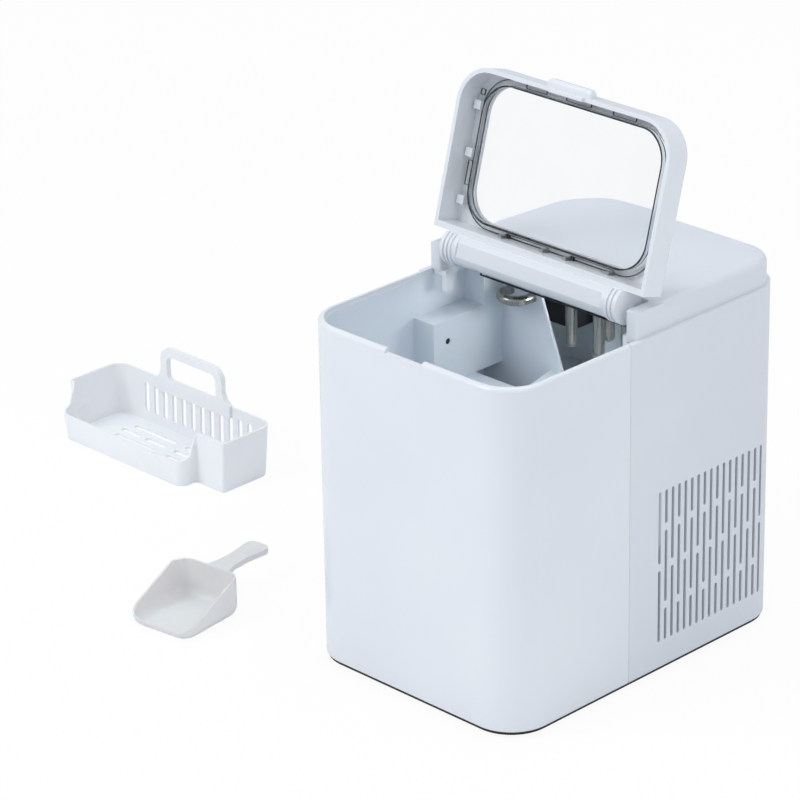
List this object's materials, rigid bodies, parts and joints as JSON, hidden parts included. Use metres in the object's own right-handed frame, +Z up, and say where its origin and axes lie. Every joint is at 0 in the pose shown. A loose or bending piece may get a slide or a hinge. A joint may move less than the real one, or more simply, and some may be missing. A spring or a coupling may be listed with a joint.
{
  "type": "ice maker",
  "caption": "Compact countertop ice maker with an open windowed lid, freezing fingers, tipping water tray, lift-out basket and scoop, vented rear housing and compressor.",
  "frame": {"origin": "centre of the footprint on the surface the feet stand on", "axes": "+Z up, the front faces -Y, +X to the viewer's right when facing the front"},
  "size_m": [0.695, 0.3783, 0.4575],
  "materials": {
    "white_shell": "gloss",
    "tank_plastic": "satin",
    "basket_plastic": "gloss",
    "scoop_plastic": "translucent satin",
    "clear_window": "clear polycarbonate",
    "black_base": "satin",
    "black_part": "matte",
    "panel_black": "gloss",
    "led_white": "gloss",
    "board_green": "matte",
    "soft_rubber": "matte",
    "hose_rubber": "satin",
    "nickel": "satin nickel plate",
    "steel_pin": "brushed",
    "black_steel": "semi-gloss",
    "fin_aluminium": "mill",
    "copper": "bright",
    "foam": "matte",
    "float_white": "matte"
  },
  "bodies": {
    "housing": {"front_shell": "white_shell", "rear_shell": "white_shell", "top_cover": "white_shell", "hinge_brackets": "white_shell", "rear_grille": "white_shell", "tank_liner": "tank_plastic", "sensor_housing_left": "tank_plastic", "sensor_housing_right": "tank_plastic", "chamber_panel": "tank_plastic", "ice_ramp": "tank_plastic", "basket_ledges": "tank_plastic", "tray_bearing": "tank_plastic", "splash_guard": "clear_window", "base_pan": "black_base", "ir_emitter": "black_part", "ir_receiver": "black_part", "tray_motor": "black_part", "fan_shroud": "black_part", "fan_motor": "black_part", "water_pump": "black_part", "power_gland": "black_part", "drain_spout": "black_part", "control_panel": "panel_black", "led_lights": "led_white", "control_board": "board_green", "rubber_feet": "soft_rubber", "compressor_grommets": "soft_rubber", "water_hose": "hose_rubber", "evaporator_tube": "nickel", "evaporator_fingers": "nickel", "return_bend": "nickel", "hinge_pin_left": "steel_pin", "hinge_pin_right": "steel_pin", "compressor": "black_steel", "condenser_fins": "fin_aluminium", "condenser_coil": "copper", "filter_drier": "copper", "insulation_foam": "foam", "float_stem": "float_white"},
    "lid": {"lid_frame": "white_shell", "lid_window": "clear_window", "window_clips": "white_shell", "snap_hooks": "steel_pin", "lid_handle": "white_shell", "lid_tongue": "white_shell", "hinge_bar": "white_shell", "hinge_knuckles": "white_shell"},
    "tray": {"water_tray": "tank_plastic"},
    "basket": {"ice_basket": "basket_plastic"},
    "scoop": {"ice_scoop": "scoop_plastic"},
    "fan": {"fan_blade": "black_part"},
    "power": {"power_button": "white_shell"},
    "select": {"select_button": "white_shell"},
    "drain": {"drain_plug": "soft_rubber"},
    "float": {"water_float": "float_white"}
  },
  "joints": [
    {"name": "lid_hinge", "type": "hinge", "parent": "housing", "child": "lid", "pos_m": [0, -0.0045, 0.303], "axis": [-1, 0, 0], "range_deg": [-105.6, 0]},
    {"name": "tray_tilt", "type": "hinge", "parent": "housing", "child": "tray", "pos_m": [0, 0.102, 0.242], "axis": [1, 0, 0], "range_deg": [-80, 0]},
    {"name": "basket_lift", "type": "slide", "parent": "housing", "child": "basket", "axis": [0, 0, 1], "range_m": [0, 0.2]},
    {"name": "scoop_lift", "type": "slide", "parent": "housing", "child": "scoop", "axis": [0, 0, 1], "range_m": [0, 0.12]},
    {"name": "fan_spin", "type": "hinge", "parent": "housing", "child": "fan", "pos_m": [0.0745, 0.068, 0.093], "axis": [1, 0, 0], "continuous": true},
    {"name": "power_press", "type": "slide", "parent": "housing", "child": "power", "axis": [0, 0, -1], "range_m": [0, 0.001], "stiffness_N_per_m": 300, "springref_m": -0.0015},
    {"name": "select_press", "type": "slide", "parent": "housing", "child": "select", "axis": [0, 0, -1], "range_m": [0, 0.001], "stiffness_N_per_m": 300, "springref_m": -0.0015},
    {"name": "drain_pull", "type": "slide", "parent": "housing", "child": "drain", "axis": [0, 1, 0], "range_m": [0, 0.04]},
    {"name": "float_rise", "type": "slide", "parent": "housing", "child": "float", "axis": [0, 0, 1], "range_m": [0, 0.012]}
  ]
}
